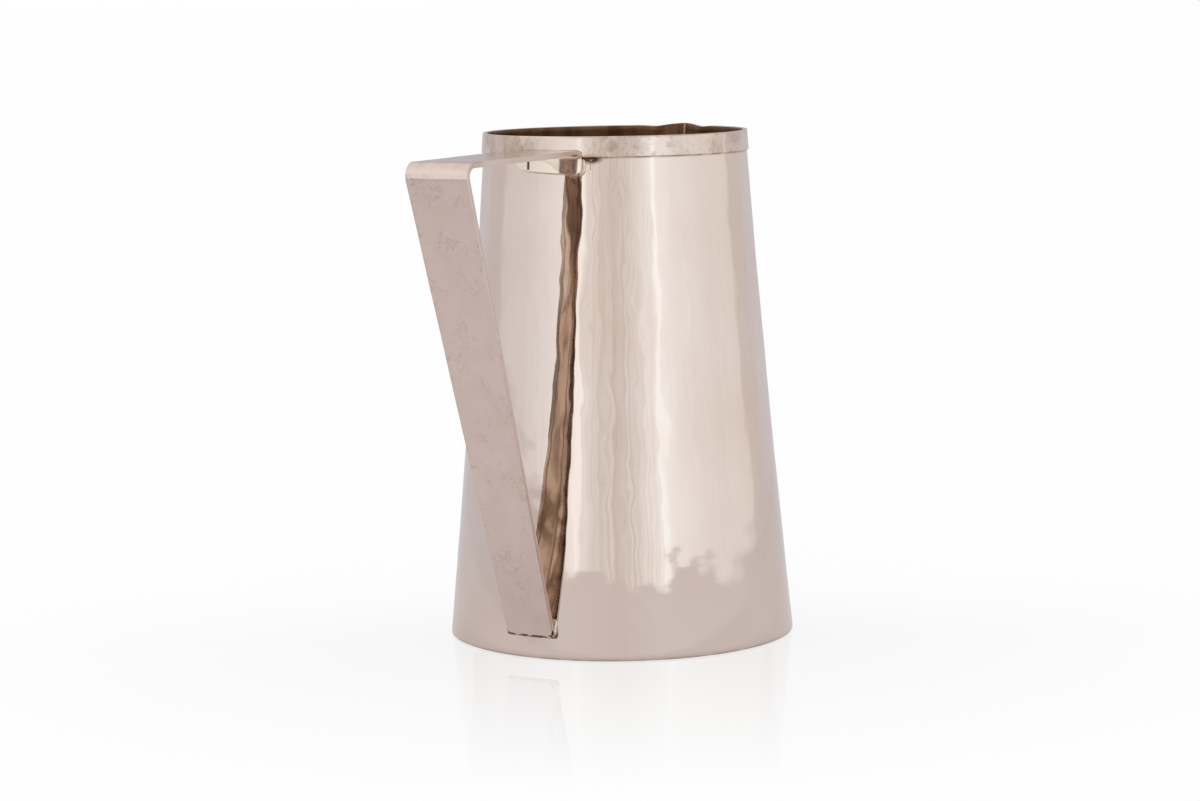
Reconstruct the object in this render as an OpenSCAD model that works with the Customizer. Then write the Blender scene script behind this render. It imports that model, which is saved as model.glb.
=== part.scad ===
// Tapered silver ewer with an applied rim band, a formed pouring lip and a folded strap handle.
// Millimetres. The origin is on the body axis, on the table. The handle points along -X and
// the lip along +X, and both halves mirror across the XZ plane.

/* [Body] */
// Height of the wall from the table to the rim
body_h = 200; // [160:1:240]
// Outside diameter of the wall at the table
base_d = 137.6; // [126:0.2:156]
// Outside diameter of the wall at the rim
rim_d = 103.4; // [94:0.2:112]
// How far the wall dips inside a straight cone at half its height
flare_sag = 0.8; // [0.4:0.1:2]
// Thickness of the hammered sheet
wall_t = 1; // [0.8:0.1:1.3]
// Rounding of the wall's outer edge on the table
heel_r = 0.6; // [0.2:0.1:0.7]

/* [Base] */
// Thickness of the base plate
base_t = 1.2; // [1:0.1:2.4]
// Leg of the solder fillet between the base plate and the wall
seam_leg = 2.2; // [1.6:0.1:3.2]

/* [Rim band] */
// Height of the applied band
band_h = 8; // [7:0.2:12]
// Thickness of the applied band
band_t = 0.7; // [0.5:0.1:1.2]

/* [Pouring lip] */
// Width of the lip where it leaves the rim circle
lip_w = 21; // [16:0.5:26]
// How far the tip stands out past the rim circle
lip_reach = 5.2; // [3.6:0.2:8]
// How far below the rim the crease starts
lip_depth = 28; // [20:1:45]
// How far the tip rises above the rim
lip_rise = 0.8; // [0.2:0.1:2]
// Rounding of the crease on the outside of the wall
lip_nose_r = 1.6; // [1.4:0.1:2.4]

/* [Handle] */
// Thickness of the strap
strap_t = 2; // [1.5:0.1:2.6]
// Width of the strap at the fold
strap_w = 27; // [22:0.5:32]
// Width of the arm where it turns down onto the wall
arm_w = 30; // [24:0.5:34]
// Width of the leg at the foot
foot_w = 20.2; // [15:0.2:24]
// Distance from the body axis to the outer corner of the fold
fold_reach = 129; // [112:1:150]
// Outside radius of the fold
fold_r = 5.5; // [3.5:0.5:9]
// How far the top of the arm lies below the rim
arm_drop = 6; // [4.6:0.1:6.4]
// Outside radius of the turn from the arm down to the tab
tab_r = 3.5; // [3:0.1:4.5]
// How far the tab reaches below the arm
tab_h = 5.8; // [4:0.1:9]
// Rounding of the two lower corners of the tab
tab_corner_r = 3; // [0.5:0.1:3.5]
// Height of the foot above the table
foot_h = 9.1; // [5:0.1:24]
// Rounding of the two lower corners of the foot
foot_corner_r = 2.2; // [0.5:0.1:4]
// Leg of the solder fillets at both ends of the handle
solder_leg = 1.2; // [0.8:0.1:1.5]

/* [Hidden] */

$fn = 240;
// Steps in which the wall's long arc climbs from the table to the rim
flare_steps = 10;
// How far cutting shapes run past what they cut
overrun = 2;

polished = [0.86, 0.81, 0.77];
matted = [0.75, 0.69, 0.66];
solder_grey = [0.52, 0.46, 0.42];

// The wall's outer line is one arc from base to rim, and its centre lies far outside the jug
base_r = base_d / 2;
rim_r = rim_d / 2;
taper = atan2(base_r - rim_r, body_h);
flare_chord = norm([base_r - rim_r, body_h]);
flare_r = (pow(flare_chord / 2, 2) + pow(flare_sag, 2)) / (2 * flare_sag);
flare_x = (base_r + rim_r) / 2 + (flare_r - flare_sag) * cos(taper);
flare_z = body_h / 2 + (flare_r - flare_sag) * sin(taper);

// Radius at height z of the wall's outside, grown outwards by grow
function flare_at(z, grow = 0) = flare_x - sqrt(pow(flare_r - grow, 2) - pow(z - flare_z, 2));

// Lip: the crease climbs from the wall to the tip, and the flanks run from the nose to the rim circle
tip_x = rim_r + lip_reach;
tip_z = body_h + lip_rise;
root_x = sqrt(pow(rim_r, 2) - pow(lip_w / 2, 2));
crease_z = body_h - lip_depth;
crease_x = flare_at(crease_z);
crease_lean = atan2(tip_x - crease_x, tip_z - crease_z);
crease_len = norm([tip_x - crease_x, tip_z - crease_z]);
root_back = (tip_x - root_x) * cos(crease_lean);
nose_to_root = norm([root_back - lip_nose_r, lip_w / 2]);
flank_len = sqrt(pow(nose_to_root, 2) - pow(lip_nose_r, 2));
flank_angle = atan2(lip_w / 2, root_back - lip_nose_r) + acos(lip_nose_r / nose_to_root) - 90;
// The flanks go on past the rim circle, into the hollow of the jug, by this share of their length
flank_past_share = 0.9;

// Handle: the outer face runs from the foot to the fold, the arm is level, and its tab lies on the wall
arm_z = body_h - arm_drop;
arm_under_z = arm_z - strap_t;
tab_low_z = arm_under_z - tab_h;
turn_z = arm_z - tab_r;
turn_x = flare_at(turn_z) + tab_r;
// Share of the strap's thickness that shows as the edge of the foot
foot_edge_share = 0.6;
foot_x = flare_at(foot_h) + strap_t * foot_edge_share;
leg_lean = atan2(fold_reach - foot_x, arm_z - foot_h);
fold_x = fold_reach - fold_r / tan((90 - leg_lean) / 2);
fold_z = arm_z - fold_r;
leg_up = [sin(leg_lean), cos(leg_lean)];
leg_out = [cos(leg_lean), -sin(leg_lean)];
widest = max(strap_w, arm_w);

// Solder: shares of its leg that run past the edges of the strap, up the band above the arm,
// and up the crevice behind the foot
solder_past_share = 0.7;
solder_rise_share = 0.4;
crevice_share = 4;
solder_past = solder_leg * solder_past_share;
crevice_h = solder_leg * crevice_share;
tab_seat_r = flare_at(tab_low_z);
foot_seat_r = flare_at(foot_h);

// Points up the wall's outer line, grown outwards by grow, from a step below the table to one above the rim
function flare_line(grow) = [
    for (i = [-1 : flare_steps + 1])
        let (z = body_h * i / flare_steps)
            [flare_at(z, grow), z]
];

// Area inside that line, from z_low to z_high
module flare_area(grow, z_low, z_high) {
    step_h = body_h / flare_steps;
    intersection() {
        polygon(concat([[0, body_h + step_h], [0, -step_h]], flare_line(grow)));
        translate([0, z_low])
            square([flare_at(-step_h, grow) + overrun, z_high - z_low]);
    }
}

// The same area turned round the body axis, as a full round block
module flare_block(grow, z_low, z_high) {
    rotate_extrude()
        flare_area(grow, z_low, z_high);
}

// Section of the lip square to its crease: a round nose and two straight flanks
module lip_area(grow) {
    nose = lip_nose_r + grow;
    flank_run = flank_len * (1 + flank_past_share);
    touch = [nose * sin(flank_angle) - lip_nose_r, nose * cos(flank_angle)];
    end = touch + flank_run * [-cos(flank_angle), sin(flank_angle)];
    translate([-lip_nose_r, 0])
        circle(r = nose);
    polygon([
        [touch[0], -touch[1]],
        touch,
        end,
        [end[0], -end[1]]
    ]);
}

// The lip's section swept along the crease
module lip_prism(grow) {
    translate([crease_x, 0, crease_z])
        rotate([0, crease_lean, 0])
            translate([0, 0, -overrun])
                linear_extrude(height = crease_len + 2 * overrun)
                    lip_area(grow);
}

// Everything below the sloping top of the lip
module below_lip_top() {
    slope = [tip_x - root_x, tip_z - body_h];
    inner = [root_x, body_h] - 3 * slope;
    outer = [tip_x, tip_z] + slope;
    rotate([90, 0, 0])
        linear_extrude(height = 3 * lip_w, center = true)
            polygon([
                inner,
                outer,
                [outer[0], crease_z - lip_depth],
                [inner[0], crease_z - lip_depth]
            ]);
}

// Full block of jug and lip, grown outwards by grow, between z_low and the rim
module jug_block(grow, z_low) {
    flare_block(grow, z_low, body_h);
    intersection() {
        lip_prism(grow);
        below_lip_top();
        translate([0, 0, z_low])
            cylinder(r = base_r, h = tip_z + overrun - z_low);
    }
}

// The same block carried on past the rim, to cut with
module jug_cutter(grow, z_low) {
    flare_block(grow, z_low, tip_z + overrun);
    lip_prism(grow);
}

// Ring that is left outside a rounded edge on the table
module heel_cutter() {
    rotate_extrude()
        difference() {
            translate([flare_at(heel_r) - heel_r, -overrun])
                square([heel_r + overrun, heel_r + overrun]);
            translate([flare_at(heel_r) - heel_r, heel_r])
                circle(r = heel_r);
        }
}

module body_wall() {
    color(polished)
        difference() {
            jug_block(0, 0);
            jug_cutter(-wall_t, -overrun);
            heel_cutter();
        }
}

module base_plate() {
    color(polished)
        flare_block(-wall_t, 0, base_t);
}

module rim_band() {
    color(polished)
        difference() {
            jug_block(band_t, body_h - band_h);
            jug_cutter(0, body_h - band_h - overrun);
        }
}

// Side view of everything on the inner side of the folded strip's face, set back by inset
module fold_area(inset) {
    leg_end = [foot_x, foot_h] - leg_up * (strap_t + overrun + inset) - leg_out * inset;
    leg_top = [fold_x, fold_z] + leg_out * (fold_r - inset);
    translate([fold_x, fold_z])
        circle(r = fold_r - inset);
    polygon([
        [0, leg_end[1]],
        leg_end,
        leg_top,
        [fold_x, arm_z - inset],
        [0, arm_z - inset]
    ]);
}

// Front view of the strap: the leg narrows down to a foot with rounded corners
module leg_outline() {
    half_foot = foot_w / 2;
    half_strap = strap_w / 2;
    polygon([
        [-half_foot, foot_h + foot_corner_r],
        [half_foot, foot_h + foot_corner_r],
        [half_strap, fold_z],
        [widest, fold_z],
        [widest, body_h],
        [-widest, body_h],
        [-widest, fold_z],
        [-half_strap, fold_z]
    ]);
    translate([foot_corner_r - half_foot, foot_h])
        square([foot_w - 2 * foot_corner_r, 2 * foot_corner_r]);
    for (side = [-1, 1])
        translate([side * (half_foot - foot_corner_r), foot_h + foot_corner_r])
            circle(r = foot_corner_r);
}

// Plan of the strap: the arm widens from the fold to the turn
module arm_outline() {
    polygon([
        [fold_reach + overrun, strap_w / 2],
        [fold_x, strap_w / 2],
        [turn_x, arm_w / 2],
        [0, arm_w / 2],
        [0, -arm_w / 2],
        [turn_x, -arm_w / 2],
        [fold_x, -strap_w / 2],
        [fold_reach + overrun, -strap_w / 2]
    ]);
}

// Side view of everything on the outer side of the tab's face, set back by inset
module tab_area(inset) {
    translate([turn_x, turn_z])
        circle(r = tab_r - inset);
    polygon([
        [flare_at(tab_low_z - overrun, inset), tab_low_z - overrun],
        [flare_at(turn_z, inset), turn_z],
        [turn_x, arm_z - inset],
        [turn_x + tab_r, arm_z - inset],
        [turn_x + tab_r, tab_low_z - overrun]
    ]);
}

// Front view of the tab, with its two lower corners rounded
module tab_outline() {
    half_arm = arm_w / 2;
    translate([-half_arm, tab_low_z + tab_corner_r])
        square([arm_w, body_h - tab_low_z]);
    translate([tab_corner_r - half_arm, tab_low_z])
        square([arm_w - 2 * tab_corner_r, 2 * tab_corner_r]);
    for (side = [-1, 1])
        translate([side * (half_arm - tab_corner_r), tab_low_z + tab_corner_r])
            circle(r = tab_corner_r);
}

// The end of the arm, turned down onto the wall
module arm_tab() {
    intersection() {
        rotate_extrude()
            difference() {
                tab_area(0);
                tab_area(strap_t);
            }
        rotate([90, 0, 90])
            linear_extrude(height = turn_x + tab_r)
                tab_outline();
        cylinder(r = turn_x, h = body_h);
    }
}

// The folded strip before it is fitted to the jug, with its arm along +X
module folded_strip() {
    intersection() {
        rotate([90, 0, 0])
            linear_extrude(height = 2 * widest, center = true)
                difference() {
                    fold_area(0);
                    fold_area(strap_t);
                }
        rotate([90, 0, 90])
            linear_extrude(height = fold_reach + overrun)
                leg_outline();
        linear_extrude(height = body_h)
            arm_outline();
    }
}

// The strip and the tab, before they are fitted to the jug
module tabbed_strip() {
    arm_tab();
    difference() {
        folded_strip();
        translate([0, 0, tab_low_z])
            cylinder(r = turn_x, h = body_h - tab_low_z);
    }
}

module handle_strap() {
    color(matted)
        rotate(180)
            difference() {
                tabbed_strip();
                flare_block(0, 0, body_h);
                flare_block(band_t, body_h - band_h, body_h);
            }
}

// Part of a ring round the body axis, half_angle to both sides of +X
module ring_part(half_angle) {
    reach = 2 * base_r;
    intersection() {
        rotate_extrude()
            children();
        linear_extrude(height = body_h)
            polygon([
                [0, 0],
                [reach, -reach * tan(half_angle)],
                [reach, reach * tan(half_angle)]
            ]);
    }
}

module upper_handle_solder() {
    half_angle = asin((arm_w / 2 + solder_past) / tab_seat_r);
    root = flare_at(body_h) - wall_t;
    solder_top = arm_z + solder_leg * solder_rise_share;
    color(solder_grey)
        rotate(180)
            difference() {
                ring_part(half_angle)
                    polygon([
                        [root, tab_low_z - solder_leg],
                        [tab_seat_r, tab_low_z - solder_leg],
                        [tab_seat_r + solder_leg, tab_low_z],
                        [tab_seat_r + solder_leg, turn_z],
                        [turn_x, arm_z],
                        [flare_at(arm_z, band_t), solder_top],
                        [root, solder_top]
                    ]);
                tabbed_strip();
                flare_block(0, 0, body_h);
                flare_block(band_t, body_h - band_h, body_h);
            }
}

module lower_handle_solder() {
    half_angle = asin((foot_w / 2 + solder_past) / foot_seat_r);
    seat_top = foot_h + strap_t;
    root = foot_seat_r - 2 * wall_t;
    color(solder_grey)
        rotate(180)
            difference() {
                ring_part(half_angle)
                    polygon([
                        [root, foot_h - solder_leg],
                        [foot_seat_r, foot_h - solder_leg],
                        [foot_seat_r + solder_leg, foot_h],
                        [foot_seat_r + solder_leg, seat_top],
                        [flare_at(seat_top + crevice_h), seat_top + crevice_h],
                        [root, seat_top + crevice_h]
                    ]);
                folded_strip();
                flare_block(0, 0, body_h);
            }
}

module base_solder() {
    inside_r = flare_at(base_t, -wall_t);
    seam_top = base_t + seam_leg;
    color(solder_grey)
        rotate_extrude()
            intersection() {
                flare_area(-wall_t, base_t, seam_top);
                polygon([
                    [inside_r - seam_leg, base_t],
                    [inside_r + overrun, base_t],
                    [inside_r + overrun, seam_top],
                    [flare_at(seam_top, -wall_t), seam_top]
                ]);
            }
}

body_wall();
base_plate();
rim_band();
handle_strap();
upper_handle_solder();
lower_handle_solder();
base_solder();
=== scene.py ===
import math

import bpy
from mathutils import Matrix, Vector


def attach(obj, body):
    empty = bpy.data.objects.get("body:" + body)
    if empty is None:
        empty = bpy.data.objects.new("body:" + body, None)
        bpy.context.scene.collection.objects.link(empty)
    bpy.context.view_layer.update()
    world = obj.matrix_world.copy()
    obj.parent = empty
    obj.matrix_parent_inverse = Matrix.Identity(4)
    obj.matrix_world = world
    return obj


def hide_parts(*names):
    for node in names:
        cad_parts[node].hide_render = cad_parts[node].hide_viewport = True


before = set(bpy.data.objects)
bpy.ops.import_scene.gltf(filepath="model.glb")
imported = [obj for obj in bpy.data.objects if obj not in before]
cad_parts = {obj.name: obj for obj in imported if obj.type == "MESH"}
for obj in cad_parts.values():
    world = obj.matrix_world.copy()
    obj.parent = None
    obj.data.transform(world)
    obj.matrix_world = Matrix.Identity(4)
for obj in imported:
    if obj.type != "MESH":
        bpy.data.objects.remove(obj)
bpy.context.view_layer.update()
print("frame loaded with", len(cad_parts), "nodes")

# Metres. Handle along -X, lip along +X, table at z = 0.
jug = {
    "height": 0.2,
    "baseRadius": 0.0688,
    "rimRadius": 0.0517,
    "sag": 0.0008,
    "bandHeight": 0.008,
}
lip = {
    "width": 0.021,
    "reach": 0.0052,
    "depth": 0.028,
    "rise": 0.0007,
    "nose": 0.001,
    "blend": 0.0012,
    "easeShare": 0.35,
    "rootDip": 0.0004,
    "dipSpread": 0.0035,
}
bandEdge = jug["height"] - jug["bandHeight"]
# Distances that count as none
tolerance = {"merge": 1e-6, "level": 1e-5}


def wallRadius(z):
    climb = z / jug["height"]
    straight = jug["baseRadius"] + (jug["rimRadius"] - jug["baseRadius"]) * climb
    return straight - 4 * jug["sag"] * climb * (1 - climb)


def spread(value, low, high):
    return low + (high - low) * value


def smoothStep(low, high, value):
    share = min(1, max(0, (value - low) / (high - low)))
    return share * share * (3 - 2 * share)


# The lip is pulled out of the round wall along +X, and the tip lifts a little
def pullLip(point):
    creaseZ = jug["height"] - lip["depth"]
    climb = (point.z - creaseZ) / lip["depth"]
    if climb <= 0 or point.x <= 0 or abs(point.y) > lip["width"]:
        return point
    rootX = math.sqrt(jug["rimRadius"] ** 2 - (lip["width"] / 2) ** 2)
    tipX = jug["rimRadius"] + lip["reach"]
    slope = (tipX - rootX) / (math.hypot(lip["width"] / 2, lip["nose"]) - lip["nose"])
    creaseX = wallRadius(creaseZ)
    ridge = creaseX + (tipX - creaseX) * climb
    flank = ridge - slope * (math.hypot(point.y, lip["nose"]) - lip["nose"])
    pulled = (point.x + flank + math.hypot(point.x - flank, lip["blend"])) / 2
    x = point.x + (pulled - point.x) * smoothStep(0, lip["easeShare"], climb)
    lift = lip["rise"] * min(1, max(0, (x - rootX) / (tipX - rootX)))
    away = (abs(point.y) - lip["width"] / 2) / lip["dipSpread"]
    dip = lip["rootDip"] * math.exp(-away * away)
    return Vector((x, point.y, point.z + (lift - dip) * climb * climb))


def selectOnly(obj):
    bpy.ops.object.select_all(action="DESELECT")
    obj.select_set(True)
    bpy.context.view_layer.objects.active = obj


def newPiece(name):
    obj = bpy.context.active_object
    obj.name = name
    obj.data.name = name
    selectOnly(obj)
    bpy.ops.object.transform_apply(location=True, rotation=True, scale=True)
    return obj


def pickEdges(obj, test):
    selectOnly(obj)
    bpy.ops.object.mode_set(mode="EDIT")
    bpy.ops.mesh.select_mode(type="EDGE")
    bpy.ops.mesh.select_all(action="DESELECT")
    bpy.ops.object.mode_set(mode="OBJECT")
    points = [v.co for v in obj.data.vertices]
    for edge in obj.data.edges:
        edge.select = test(points[edge.vertices[0]], points[edge.vertices[1]])
    bpy.ops.object.mode_set(mode="EDIT")


def cutEdges(obj, test, cuts):
    pickEdges(obj, test)
    bpy.ops.mesh.subdivide(number_cuts=cuts)
    bpy.ops.object.mode_set(mode="OBJECT")


def cleanNormals(obj):
    selectOnly(obj)
    bpy.ops.object.mode_set(mode="EDIT")
    bpy.ops.mesh.select_all(action="SELECT")
    bpy.ops.mesh.remove_doubles(threshold=tolerance["merge"])
    bpy.ops.mesh.normals_make_consistent(inside=False)
    bpy.ops.object.mode_set(mode="OBJECT")


def addModifier(obj, kind, **settings):
    selectOnly(obj)
    bpy.ops.object.modifier_add(type=kind)
    modifier = obj.modifiers[-1]
    for key, value in settings.items():
        setattr(modifier, key, value)
    bpy.ops.object.modifier_apply(modifier=modifier.name)


# Moves the surface along its normals, by a texture where one is given
def hammer(obj, depth, middle, texture=None, **settings):
    addModifier(
        obj, "DISPLACE", texture=texture, direction="NORMAL", mid_level=middle, strength=depth, **settings,
    )


def roundEdges(obj, width, segments, sharpest, **settings):
    limits = {"limit_method": "ANGLE", "angle_limit": math.radians(sharpest)}
    addModifier(obj, "BEVEL", width=width, segments=segments, **limits, **settings)


def smoothShade(obj, angle=40):
    selectOnly(obj)
    bpy.ops.object.shade_smooth_by_angle(angle=math.radians(angle))


def hammerTexture(name, size):
    texture = bpy.data.textures.new(name, "CLOUDS")
    texture.noise_scale = size
    return texture


def weightGroup(obj, name, weight):
    group = obj.vertex_groups.new(name=name)
    for vertex in obj.data.vertices:
        group.add([vertex.index], weight(vertex.co), "REPLACE")
    return group.name


# Shader helpers
def startMaterial(name, kind="BsdfPrincipled"):
    material = bpy.data.materials.new(name)
    material.use_nodes = True
    tree = material.node_tree
    tree.nodes.clear()
    output = tree.nodes.new("ShaderNodeOutputMaterial")
    shader = tree.nodes.new("ShaderNode" + kind)
    tree.links.new(shader.outputs[0], output.inputs["Surface"])
    return material, tree, shader


def addNode(tree, kind, inputs, **settings):
    node = tree.nodes.new("ShaderNode" + kind)
    for key, value in settings.items():
        setattr(node, key, value)
    for key, value in inputs.items():
        if isinstance(value, bpy.types.NodeSocket):
            tree.links.new(value, node.inputs[key])
        else:
            node.inputs[key].default_value = value
    return node


def objectCoords(tree):
    return addNode(tree, "TexCoord", {}).outputs["Object"]


def placeOf(tree, coords):
    return addNode(tree, "SeparateXYZ", {"Vector": coords}).outputs


def stretched(tree, coords, scale):
    return addNode(tree, "Mapping", {"Vector": coords, "Scale": scale}).outputs["Vector"]


def distanceTo(tree, coords, point):
    return addNode(tree, "VectorMath", {0: coords, 1: point}, operation="DISTANCE").outputs["Value"]


def noiseValue(tree, coords, size, detail, distortion=0):
    inputs = {"Vector": coords, "Scale": 1 / size, "Detail": detail, "Distortion": distortion}
    return addNode(tree, "TexNoise", inputs).outputs["Fac"]


def ranged(tree, value, low, high, toLow=0, toHigh=1):
    inputs = {"Value": value, "From Min": low, "From Max": high, "To Min": toLow, "To Max": toHigh}
    return addNode(tree, "MapRange", inputs).outputs["Result"]


# Falls from the most to nothing
def fading(tree, value, low, high, most=1):
    return ranged(tree, value, low, high, most, 0)


# Patches where noise passes from low to high
def noisePatch(tree, coords, size, detail, low, high, toLow=0, toHigh=1, distortion=0):
    return ranged(tree, noiseValue(tree, coords, size, detail, distortion), low, high, toLow, toHigh)


def combined(tree, operation, first, second=0):
    node = addNode(tree, "Math", {0: first, 1: second}, operation=operation)
    return node.outputs["Value"]


def times(tree, product, *others):
    for other in others:
        product = combined(tree, "MULTIPLY", product, other)
    return product


def apartFrom(tree, value, middle):
    return combined(tree, "ABSOLUTE", combined(tree, "SUBTRACT", value, middle))


# Sockets 0, 6 and 7 take the share and the two colours
def mixedColor(tree, share, first, second):
    return addNode(tree, "Mix", {0: share, 6: first, 7: second}, data_type="RGBA").outputs[2]


def bumped(tree, height, distance, normal=None):
    inputs = {"Height": height, "Distance": distance, "Strength": 1}
    if normal is not None:
        inputs["Normal"] = normal
    return addNode(tree, "Bump", inputs).outputs["Normal"]


def noiseBump(tree, coords, depth, **noise):
    return bumped(tree, noiseValue(tree, coords, **noise), depth)


def finishShader(tree, shader, color, rough, normal, metal=1):
    tree.links.new(color, shader.inputs["Base Color"])
    tree.links.new(rough, shader.inputs["Roughness"])
    tree.links.new(normal, shader.inputs["Normal"])
    shader.inputs["Metallic"].default_value = metal


# Dark residue of the soldering, smeared along the band's lower edge beside the tab.
# A stroke is its y, its lower and upper end and its half width.
burn = {
    "color": (0.078, 0.031, 0.012, 1),
    "center": (-0.0486, -0.0182, 0.1914),
    "flatten": (1, 1, 2.4),
    "fade": {"low": 0.0026, "high": 0.0056},
    "speckStretch": (1, 1, 5),
    "specks": {"size": 0.004, "detail": 4, "distortion": 0.5, "low": 0.22, "high": 0.44, "toLow": 0.25},
    "drip": (-0.0186, 0.187, 0.1914, 0.0003),
    "dripShare": 0.5,
    "stroke": (0.0066, 0.187, 0.191, 0.0008),
    "strokeCore": 0.4,
    "handleSide": {"low": -0.02, "high": -0.01},
}


def strokeMask(tree, coords, y, low, high, width):
    place = placeOf(tree, coords)
    tall = high - low
    aside = apartFrom(tree, place["Y"], y)
    apart = apartFrom(tree, place["Z"], (low + high) / 2)
    line = fading(tree, aside, width * burn["strokeCore"], width)
    ends = fading(tree, apart, tall * burn["strokeCore"], tall / 2)
    return times(tree, line, ends, fading(tree, place["X"], **burn["handleSide"]))


def residue(tree, coords):
    flat = stretched(tree, coords, burn["flatten"])
    center = tuple(a * b for a, b in zip(burn["center"], burn["flatten"]))
    near = fading(tree, distanceTo(tree, flat, center), **burn["fade"])
    specks = noisePatch(tree, stretched(tree, coords, burn["speckStretch"]), **burn["specks"])
    drip = times(tree, strokeMask(tree, coords, *burn["drip"]), burn["dripShare"])
    return combined(tree, "MAXIMUM", times(tree, near, specks), drip)


# Finishes
polish = {
    "clean": (0.76, 0.65, 0.59, 1),
    "warm": (0.73, 0.605, 0.53, 1),
    # Colour of the painted shade under the band and along the foot
    "paintedShade": (0.16, 0.11, 0.075, 1),
    "clouds": {"size": 0.045, "detail": 5, "low": 0.45, "high": 0.75},
    "spots": {"size": 0.008, "detail": 4, "low": 0.3, "high": 0.6, "toLow": 0.25},
    "corner": {"low": 0.0001, "high": 0.0007, "most": 0.75},
    "foot": {"low": 0.0001, "high": 0.0011, "most": 0.6},
    "smearStretch": (1, 1, 0.25),
    "rough": {"size": 0.012, "detail": 5, "low": 0.35, "high": 0.75, "toLow": 0.015, "toHigh": 0.06},
    "planish": {"size": 0.007, "detail": 2, "depth": 0.00001},
}


def polishedSilver(name):
    material, tree, shader = startMaterial(name)
    coords = objectCoords(tree)
    height = placeOf(tree, coords)["Z"]
    color = mixedColor(tree, noisePatch(tree, coords, **polish["clouds"]), polish["clean"], polish["warm"])
    # Painted shade in the corner under the band and along the foot edge, broken into spots
    spots = noisePatch(tree, coords, **polish["spots"])
    corner = fading(tree, apartFrom(tree, height, bandEdge), **polish["corner"])
    foot = fading(tree, height, **polish["foot"])
    paintedShade = times(tree, combined(tree, "MAXIMUM", corner, foot), spots)
    color = mixedColor(tree, paintedShade, color, polish["paintedShade"])
    color = mixedColor(tree, residue(tree, coords), color, burn["color"])
    rough = noisePatch(tree, stretched(tree, coords, polish["smearStretch"]), **polish["rough"])
    normal = noiseBump(tree, coords, **polish["planish"])
    finishShader(tree, shader, color, rough, normal)
    return material


smudge = {
    "clean": (0.735, 0.615, 0.545, 1),
    "stain": (0.45, 0.34, 0.27, 1),
    "marks": {"size": 0.009, "detail": 6, "distortion": 0.4, "low": 0.42, "high": 0.72},
    "zone": {"size": 0.022, "detail": 2, "low": 0.38, "high": 0.58, "toLow": 0.55},
    "specks": {"size": 0.0016, "detail": 3, "low": 0.5, "high": 0.72, "toHigh": 0.6},
    "wiped": (-0.0513, -0.0063, 0.196),
    "wipedFade": {"low": 0.005, "high": 0.013, "toLow": 0.1, "toHigh": 0.95},
    "thumb": (-0.0463, -0.0247, 0.1964),
    "thumbFade": {"low": 0.003, "high": 0.0085, "most": 0.75},
    "thumbLines": {"size": 0.004, "detail": 5, "distortion": 0.6, "low": 0.4, "high": 0.6},
    "spots": {"size": 0.008, "detail": 4, "low": 0.35, "high": 0.6},
    "corner": {"low": 0.0001, "high": 0.0005, "most": 0.7},
    "burnShare": 0.45,
    "roughLow": 0.05,
    "roughHigh": 0.16,
    "planish": {"size": 0.004, "detail": 3, "depth": 0.00001},
}


# The band is handled most, so its polish is dulled by finger marks
def smudgedSilver(name):
    material, tree, shader = startMaterial(name)
    coords = objectCoords(tree)
    marks = noisePatch(tree, coords, **smudge["marks"])
    zone = noisePatch(tree, coords, **smudge["zone"])
    specks = noisePatch(tree, coords, **smudge["specks"])
    wiped = ranged(tree, distanceTo(tree, coords, smudge["wiped"]), **smudge["wipedFade"])
    stain = times(tree, combined(tree, "ADD", marks, specks), zone, wiped)
    thumb = fading(tree, distanceTo(tree, coords, smudge["thumb"]), **smudge["thumbFade"])
    thumb = times(tree, noisePatch(tree, coords, **smudge["thumbLines"]), thumb)
    stain = combined(tree, "MAXIMUM", stain, thumb)
    color = mixedColor(tree, stain, smudge["clean"], smudge["stain"])
    # Painted shade along the lower edge, broken into spots
    above = combined(tree, "SUBTRACT", placeOf(tree, coords)["Z"], bandEdge)
    paintedShade = times(tree, fading(tree, above, **smudge["corner"]), noisePatch(tree, coords, **smudge["spots"]))
    color = mixedColor(tree, paintedShade, color, polish["paintedShade"])
    color = mixedColor(tree, times(tree, residue(tree, coords), smudge["burnShare"]), color, burn["color"])
    rough = ranged(tree, marks, 0, 1, smudge["roughLow"], smudge["roughHigh"])
    normal = noiseBump(tree, coords, **smudge["planish"])
    finishShader(tree, shader, color, rough, normal)
    return material


matte = {
    "clean": (0.745, 0.615, 0.57, 1),
    "warm": (0.715, 0.585, 0.525, 1),
    "clouds": {"size": 0.014, "detail": 4, "low": 0.4, "high": 0.65},
    # Colour of the painted shade on the strap's rounded sides
    "side": (0.67, 0.555, 0.51, 1),
    "sideTaper": 0.0184,
    "sideShadeFade": {"low": 0.0096, "high": 0.0099},
    "line": (0.52, 0.39, 0.32, 1),
    "lineShare": 0.5,
    "lineDepth": -0.00001,
    "lineZone": {"size": 0.011, "detail": 3, "low": 0.44, "high": 0.62},
    "loops": {"size": 0.0105, "detail": 2, "distortion": 0.8},
    "loopWidth": 0.016,
    "loopDepth": 0.00015,
    "smallLoops": {"size": 0.00735, "detail": 2, "distortion": 0.8},
    "smallLoopWidth": 0.02,
    "shift": (0.31, 0.17, 0.23),
    "pit": (0.42, 0.27, 0.17, 1),
    "pits": {"size": 0.0024, "detail": 3, "low": 0.6, "high": 0.72},
    "pitZone": {"size": 0.012, "detail": 2, "low": 0.48, "high": 0.62},
    "pitEdge": {"low": 0.0088, "high": 0.0118, "toLow": 0.05, "toHigh": 0.8},
    "pitDepth": -0.00003,
    "foldTopBrown": {"size": 0.007, "detail": 4, "low": 0.35, "high": 0.65, "toLow": 0.15, "toHigh": 0.6},
    "foldPlace": {"low": -0.119, "high": -0.113},
    "foldTop": {"low": 0.1905, "high": 0.1938},
    "rough": {"size": 0.01, "detail": 4, "low": 0.35, "high": 0.7, "toLow": 0.1, "toHigh": 0.2},
}


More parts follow.
